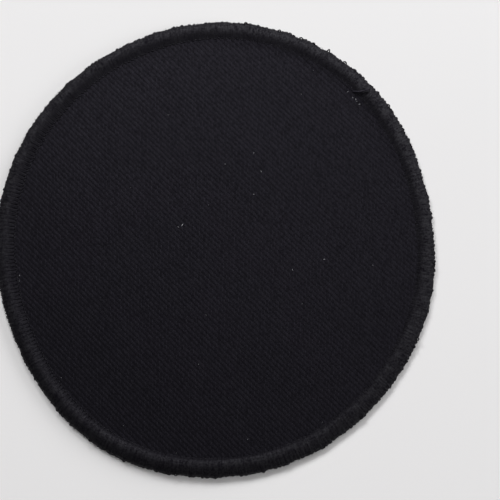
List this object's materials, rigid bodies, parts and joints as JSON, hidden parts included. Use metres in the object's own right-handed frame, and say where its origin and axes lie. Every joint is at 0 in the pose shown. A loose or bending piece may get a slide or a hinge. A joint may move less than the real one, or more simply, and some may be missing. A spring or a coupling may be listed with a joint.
{
  "type": "blank patch",
  "caption": "Round blank emblem patch of black twill cloth with a raised overlocked thread border.",
  "frame": {"origin": "the surface that the patch lies on, under the middle of its outline's bounding box", "axes": "+Z out of the patch's face, +Y towards the top of the picture, +X towards its right"},
  "size_m": [0.0872, 0.0906, 0.0025],
  "materials": {
    "twill_cloth": "matt black twill with fine diagonal ribs",
    "border_thread": "black thread with a soft sheen, stitched side by side over the edge"
  },
  "bodies": {
    "root": {"twill_ground": "twill_cloth", "merrowed_border": "border_thread"}
  },
  "joints": []
}
